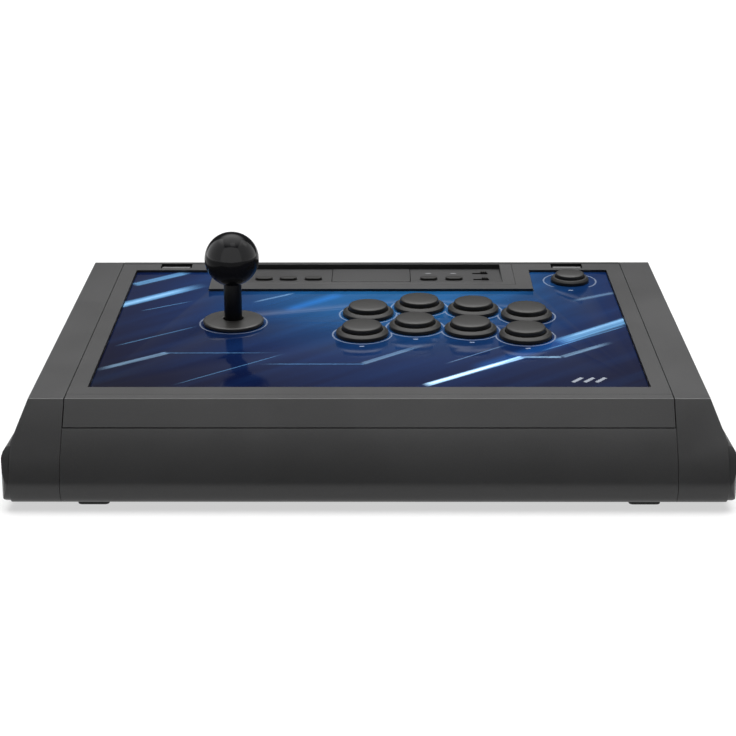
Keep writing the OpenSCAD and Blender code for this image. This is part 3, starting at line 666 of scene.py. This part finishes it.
def button_meshes(name, rim, barrel, body, cap):
    """Body and cap of a push button, from the boxes of their CAD nodes."""
    radius = radius_of(*cap)
    return (button_body(f"{name}_body", rim, radius + PLUNGER_GAP, barrel,
                        body[1].z / MM, body[0].z / MM),
            plunger(f"{name}_cap", radius, cap[1].z / MM, cap[0].z / MM))


bodies = deck_box("button_bodies")
rightmost = max(point.x for point in BUTTON_AT)
body_mesh, cap_mesh = button_meshes("button", (bodies[1].x - rightmost) / MM, 14.8, bodies,
                                    deck_box("button_1"))
for number, point in enumerate(BUTTON_AT, 1):
    piece(f"button_body_{number}", body_mesh, "button_bodies", place=at_deck(point))
    piece(f"button_cap_{number}", cap_mesh, f"button_{number}", place=at_deck(point))

small_bodies = deck_box("small_button_body")
body_mesh, cap_mesh = button_meshes("small", radius_of(*small_bodies), 11.8, small_bodies,
                                    deck_box("small_button"))
piece("small_body", body_mesh, "small_button_body", place=at_deck(SMALL_AT))
piece("small_cap", cap_mesh, "small_button", place=at_deck(SMALL_AT))

# ---- Lever -----------------------------------------------------------------------------------

SHAFT_BORE = 4
BORE_END = 1.8
low, high = deck_box("ball_top")
ball_radius = radius_of(low, high)
ball_centre = high.z / MM - ball_radius
flat = low.z / MM
flat_angle = atan2(flat - ball_centre, sqrt(ball_radius ** 2 - (flat - ball_centre) ** 2))
arc = [(ball_radius * cos(a), ball_centre + ball_radius * sin(a))
       for a in [flat_angle + (pi / 2 - flat_angle) * k / 48 for k in range(48)]]
ball = lathe("ball", [(SHAFT_BORE, flat, 0.3)] + arc + [
    (0, high.z / MM), (0, ball_centre + BORE_END), (SHAFT_BORE, ball_centre + BORE_END)],
    segments=128)
lever_place = at_deck(LEVER_AT)
ball_top = piece("ball", ball, "ball_top", BALL, place=lever_place)

low, high = deck_box("shaft_cover")
tube_radius = radius_of(low, high)
tube = lathe("shaft_tube", [
    (SHAFT_BORE, low.z / MM, 0.2), (tube_radius, low.z / MM, 0.5),
    (tube_radius, high.z / MM, 0.2), (SHAFT_BORE, high.z / MM, 0.2)], segments=64)
piece("shaft_tube", tube, "shaft_cover", TUBE, place=lever_place)

DUST_BORE = 6.5
DUST_CROWN = 8.2
low, high = deck_box("dust_washer")
dust_radius = radius_of(low, high)
washer = lathe("dust_ring", [
    (DUST_BORE, low.z / MM, 0.2), (DUST_BORE, high.z / MM, 0.4), (DUST_CROWN, high.z / MM, 0.5),
    (dust_radius - 0.9, 1.15, 0.6), (dust_radius, 0.55, 0.45), (dust_radius, low.z / MM, 0.3)],
    segments=128)
piece("dust_ring", washer, "dust_washer", WASHER, place=lever_place)

UNDER_BORE = 8.2
UNDER_RADIUS = 17
low, high = deck_box("under_washer")
under = lathe("under_ring", [
    (UNDER_BORE, low.z / MM, 0.2), (UNDER_BORE, high.z / MM, 0.2),
    (UNDER_RADIUS, high.z / MM, 0.3), (UNDER_RADIUS, low.z / MM, 0.3)])
piece("under_ring", under, "under_washer", place=lever_place)

# ---- Feet ------------------------------------------------------------------------------------

FOOT_HALF = 9.1
FOOT_CORNER = 2.5
FOOT_HOLE = 4.2
low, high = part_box("rubber_feet")
foot = plate("foot", [round_box(-FOOT_HALF, -FOOT_HALF, FOOT_HALF, FOOT_HALF, FOOT_CORNER),
                      circle(0, 0, FOOT_HOLE, 32)], 0, high.z / MM, edge=0.45)
inset = FOOT_HALF * MM
feet = [(x, y) for y in (low.y + inset, high.y - inset) for x in (low.x + inset, high.x - inset)]
for number, (x, y) in enumerate(feet, 1):
    piece(f"foot_{number}", foot, "rubber_feet", place=Matrix.Translation((x, y, 0)))

# ---- Small controls in the recess ------------------------------------------------------------

PAD_THICK = 2.5
PAD_CORNER = 1.2
KEY_DEEP = 4.6
low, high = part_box("touch_pad")
pad = plate("pad_face",
            [round_box(low.x / MM, low.y / MM, high.x / MM, high.y / MM, PAD_CORNER)],
            high.z / MM - PAD_THICK, high.z / MM, edge=0.25)
piece("pad_face", pad, "touch_pad", STRIP, place=Matrix.Identity(4))

for number in range(1, 6):
    node = f"option_button_{number}"
    low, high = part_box(node)
    centre = middle(low, high)
    half = radius_of(low, high)
    radius = (high.y - low.y) / 2 / MM
    oval = [(half - radius + radius * cos(a), radius * sin(a))
            for a in [-pi / 2 + pi * k / 16 for k in range(17)]]
    oval += [(-x, -y) for x, y in oval]
    key = plate(f"option_key_{number}", [oval], -KEY_DEEP, 0, edge=0.42, steps=4)
    piece(f"option_key_{number}", key, node,
          place=Matrix.Translation((centre.x, centre.y, high.z)))

for node in ("switch_knob_1", "switch_knob_2"):
    dress(node, 0.18, angle=30, segments=2)

# ---- Floor, light and camera -----------------------------------------------------------------

scene = bpy.context.scene
scene.view_settings.view_transform = "Standard"

g = material("floor_paint")
floor_finish = g.finish(
    Base_Color=g.blend(g.noise(1.5, 3), (0.28, 0.28, 0.28), (0.30, 0.30, 0.30)),
    Roughness=0.9, Specular_IOR_Level=0.1,
    Emission_Color=(1, 1, 1), Emission_Strength=0.6)
bpy.ops.mesh.primitive_plane_add(size=60, location=(0, 0, 0))
floor = bpy.context.object
floor.name = "floor"
floor.data.materials.append(floor_finish)

# Soft overhead light that leans to the rear, above a dim horizon
KEY_ELEVATION = radians(76)
KEY_INNER = radians(10)
KEY_OUTER = radians(44)
KEY_STRENGTH = 6.8
FRONT_STRENGTH = 0.04
REAR_STRENGTH = 0.10
scene.world = bpy.data.worlds.new("studio")
g = Graph(scene.world, space="Generated")
facing = g.vector("DOT_PRODUCT", g.place, (0, cos(KEY_ELEVATION), sin(KEY_ELEVATION)))
key = g.fade(facing, cos(KEY_OUTER), cos(KEY_INNER), 0, KEY_STRENGTH)
fill = g.fade(g.split(g.place)[1], -0.6, 0.5, FRONT_STRENGTH, REAR_STRENGTH)
sky = g.tree.nodes["Background"]
g.put(sky.inputs["Strength"], g.math("ADD", key, fill))
g.put(sky.inputs["Color"], (1, 1, 1, 1))


def area_light(name, size, power):
    data = bpy.data.lights.new(name, "AREA")
    data.size = size
    data.energy = power
    lamp = bpy.data.objects.new(name, data)
    scene.collection.objects.link(lamp)
    return lamp


# Two soft boxes aimed at the middle of the case
SOFTBOX_DISTANCE = 2.0
for name, towards, size, power in (("top_box", (0.05, -0.22, 0.97), 0.55, 3),
                                   ("side_box", (0.62, 0.24, 0.75), 0.45, 2)):
    lamp = area_light(name, size, power)
    aim = Vector(towards).normalized()
    lamp.location = aim * SOFTBOX_DISTANCE
    lamp.rotation_euler = aim.to_track_quat("Z", "Y").to_euler()

# Three bright walls round the case that only the ball's polish sees
WALL_SIZE = 4
sees_walls = bpy.data.collections.new("sees_walls")
sees_walls.objects.link(ball_top)
for name, turn, power in (("left_wall", radians(-90), 190), ("front_wall", 0, 300),
                          ("right_wall", radians(90), 190)):
    lamp = area_light(name, WALL_SIZE, power)
    lamp.light_linking.receiver_collection = sees_walls
    lamp.location = Vector((sin(turn), -cos(turn), 1)) * WALL_SIZE / 2
    lamp.rotation_euler = (radians(90), 0, turn)

camera_data = bpy.data.cameras.new("camera")
camera_data.lens = 90.888
camera_data.sensor_width = 36
camera = bpy.data.objects.new("camera", camera_data)
camera.location = Vector((8.1, -1149.37, 376.34)) * MM
camera.rotation_euler = Euler([radians(a) for a in (73.8388, 0.1338, 0.434)])
scene.collection.objects.link(camera)
bpy.context.scene.camera = camera
